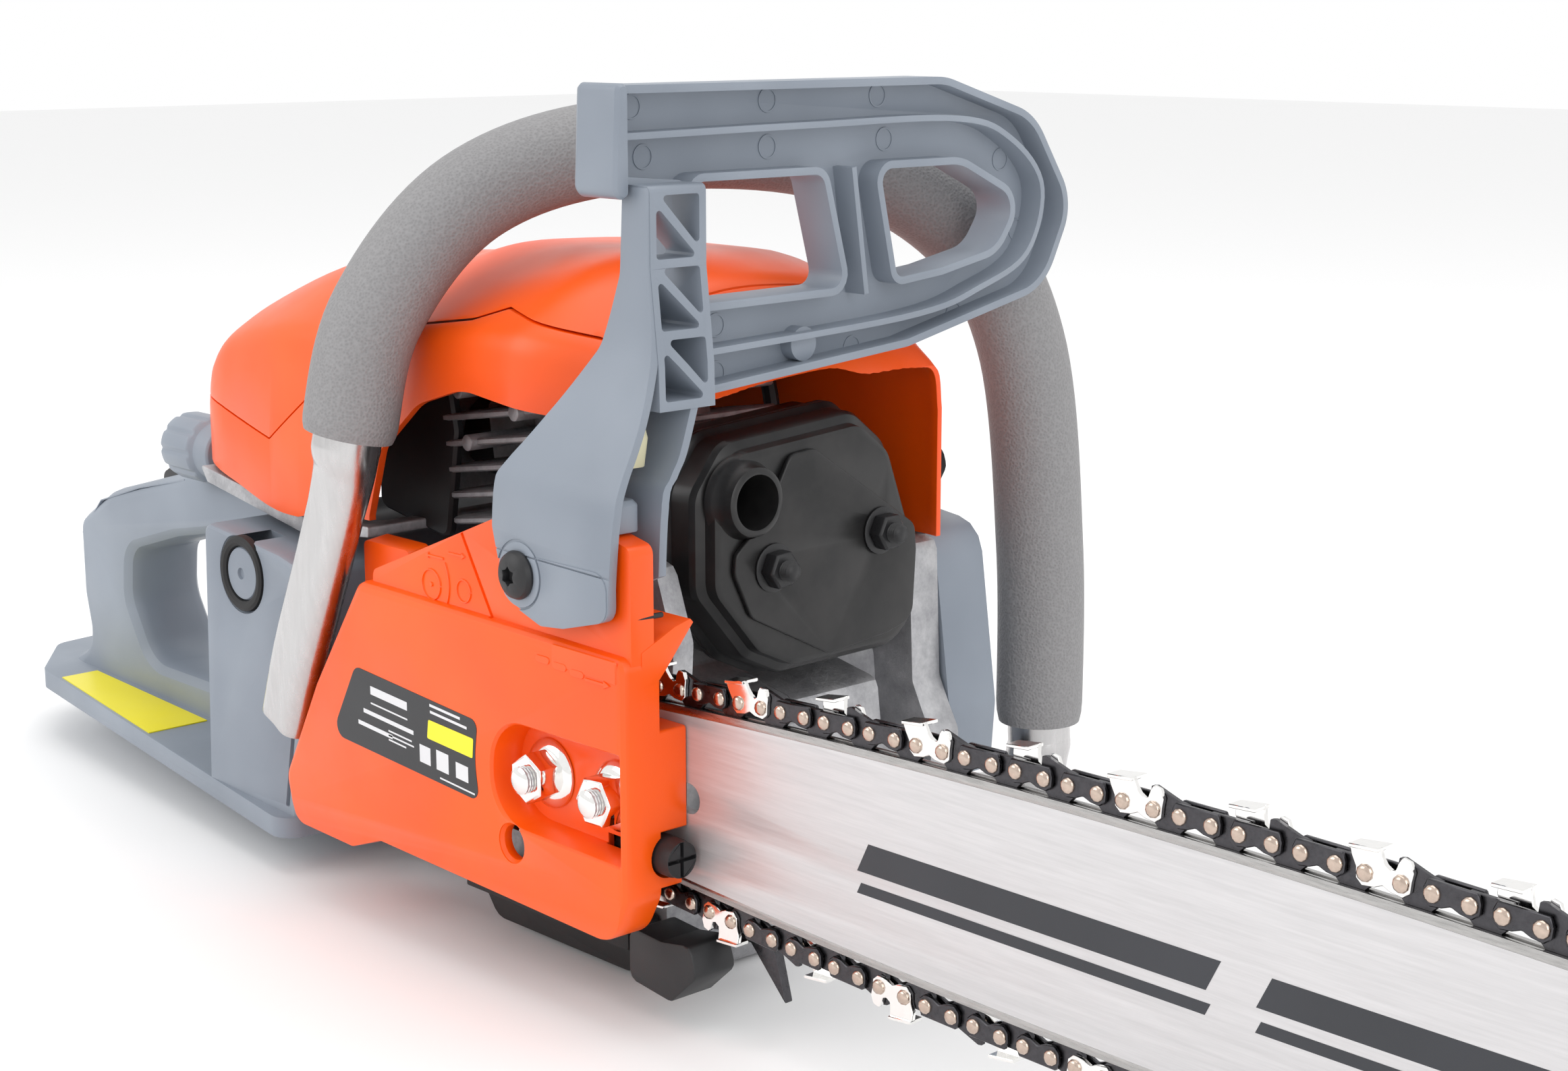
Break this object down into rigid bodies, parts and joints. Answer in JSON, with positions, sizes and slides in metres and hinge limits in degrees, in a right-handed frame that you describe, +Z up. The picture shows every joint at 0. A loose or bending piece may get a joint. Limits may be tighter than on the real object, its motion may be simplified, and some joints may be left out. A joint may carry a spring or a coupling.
{
  "type": "chainsaw",
  "caption": "Petrol chainsaw with a guide bar and chain, side clutch cover, hand guard lever, wrap-round front handle and closed rear handle.",
  "frame": {"origin": "on the flat foot of the crankcase, which the saw stands on, in the rear handle's mid-plane", "axes": "+X forward to the bar tip, +Y to the saw's left (starter side), +Z up"},
  "size_m": [0.8382, 0.2363, 0.262],
  "materials": {
    "orange": "smooth orange moulded plastic",
    "grey": "blue-grey moulded plastic",
    "grip": "grained grey-brown grip",
    "alloy": "rough silver die casting",
    "polished": "polished tube",
    "steel": "machined steel",
    "chrome": "bright plated",
    "bar": "satin painted bar",
    "dark": "gunmetal chain steel",
    "black": "black",
    "rubber": "black rubber",
    "felt": "flocked filter",
    "white": "white insulator",
    "silencer": "satin black heat-resistant paint"
  },
  "bodies": {
    "powerhead": {"air_filter": "felt", "air_filter_box": "black", "av_mount_base": "rubber", "bar_nut_front": "chrome", "bar_nut_rear": "chrome", "brake_band": "steel", "bumper_spike": "dark", "carburettor": "alloy", "chain_catcher": "black", "clutch_cover": "orange", "crank_bearing_left": "steel", "crank_bearing_right": "steel", "crankcase_left": "alloy", "crankcase_right": "alloy", "cylinder": "alloy", "filter_cover": "orange", "front_handle": "polished", "fuel_hose": "black", "grip_sleeve": "grip", "guard_pivot_screw": "black", "guide_bar": "bar", "heat_shield": "silencer", "ignition_coil": "black", "ignition_lead": "rubber", "intake_boot": "rubber", "intake_deck": "alloy", "lower_skid": "black", "mount_plug_cap": "grey", "mount_plug_ring": "rubber", "muffler_back": "silencer", "muffler_bolt_left": "silencer", "muffler_bolt_right": "silencer", "muffler_face": "silencer", "oil_pump": "steel", "recoil_spring": "steel", "saw_chain": "dark", "spark_plug": "white", "spark_plug_boot": "rubber", "starter_housing": "grey", "starter_rope": "white", "tank_unit": "grey", "tension_block": "steel", "top_cover": "orange"},
    "hand_guard": {"hand_guard": "grey"},
    "throttle_trigger": {"throttle_trigger": "black"},
    "throttle_lock": {"throttle_lock": "black"},
    "choke_knob": {"choke_knob": "black"},
    "stop_switch": {"stop_switch": "black"},
    "filter_cover_knob": {"filter_cover_knob": "grey"},
    "fuel_cap": {"fuel_cap": "black"},
    "oil_cap": {"oil_cap": "black"},
    "starter_pulley": {"starter_pulley": "black"},
    "starter_grip": {"starter_grip": "black"},
    "crank": {"crankshaft": "steel", "flywheel": "alloy", "clutch_hub": "dark"},
    "clutch_drum": {"clutch_drum": "steel"},
    "nose_sprocket": {"nose_sprocket": "steel"},
    "piston": {"piston": "alloy"},
    "tension_screw": {"tension_screw": "black"}
  },
  "joints": [
    {"name": "guard_swing", "type": "hinge", "parent": "powerhead", "child": "hand_guard", "pos_m": [0.0405, -0.064, 0.128], "axis": [0, 1, 0], "range_deg": [0, 12]},
    {"name": "trigger_pull", "type": "hinge", "parent": "powerhead", "child": "throttle_trigger", "pos_m": [-0.182, 0, 0.1], "axis": [0, 1, 0], "range_deg": [0, 13], "stiffness_Nm_per_rad": 0.4, "springref_deg": -11.46},
    {"name": "lock_press", "type": "hinge", "parent": "powerhead", "child": "throttle_lock", "pos_m": [-0.23, 0, 0.11], "axis": [0, 1, 0], "range_deg": [-8, 0], "stiffness_Nm_per_rad": 0.3, "springref_deg": 8.59},
    {"name": "choke_pull", "type": "slide", "parent": "powerhead", "child": "choke_knob", "axis": [-1, 0, 0], "range_m": [0, 0.012]},
    {"name": "switch_rock", "type": "hinge", "parent": "powerhead", "child": "stop_switch", "pos_m": [-0.192, 0.008, 0.117], "axis": [0, 1, 0], "range_deg": [-10, 10]},
    {"name": "cover_knob_turn", "type": "hinge", "parent": "powerhead", "child": "filter_cover_knob", "pos_m": [-0.1855, -0.02, 0.1276], "axis": [-1, 0, 0], "continuous": true},
    {"name": "fuel_cap_turn", "type": "hinge", "parent": "powerhead", "child": "fuel_cap", "pos_m": [-0.13, 0.088, 0.058], "axis": [0, 1, 0], "continuous": true},
    {"name": "oil_cap_turn", "type": "hinge", "parent": "powerhead", "child": "oil_cap", "pos_m": [0.046, 0.095, 0.024], "axis": [0, 1, 0], "continuous": true},
    {"name": "starter_pull", "type": "slide", "parent": "powerhead", "child": "starter_grip", "axis": [-0.342, 0, 0.9397], "range_m": [0, 0.75]},
    {"name": "pulley_turn", "type": "hinge", "parent": "powerhead", "child": "starter_pulley", "pos_m": [-0.016, 0.105, 0.068], "axis": [0, 1, 0], "range_deg": [0, 1535.71]},
    {"name": "crank_turn", "type": "hinge", "parent": "powerhead", "child": "crank", "pos_m": [-0.016, 0.03, 0.068], "axis": [0, 1, 0], "continuous": true},
    {"name": "drum_turn", "type": "hinge", "parent": "powerhead", "child": "clutch_drum", "pos_m": [-0.016, -0.04, 0.068], "axis": [0, 1, 0], "continuous": true},
    {"name": "nose_turn", "type": "hinge", "parent": "powerhead", "child": "nose_sprocket", "pos_m": [0.45741, -0.04, 0.068], "axis": [0, 1, 0], "continuous": true},
    {"name": "piston_stroke", "type": "slide", "parent": "powerhead", "child": "piston", "axis": [0.1564, 0, -0.9877], "range_m": [0, 0.032]},
    {"name": "tension_turn", "type": "hinge", "parent": "powerhead", "child": "tension_screw", "pos_m": [0.084, -0.049, 0.053], "axis": [1, 0, 0], "continuous": true}
  ],
  "couplings": [
    {"joint": "nose_turn", "follows": "drum_turn", "ratio": 0.7},
    {"joint": "pulley_turn", "follows": "starter_pull", "rad_per_m": 35.714}
  ]
}
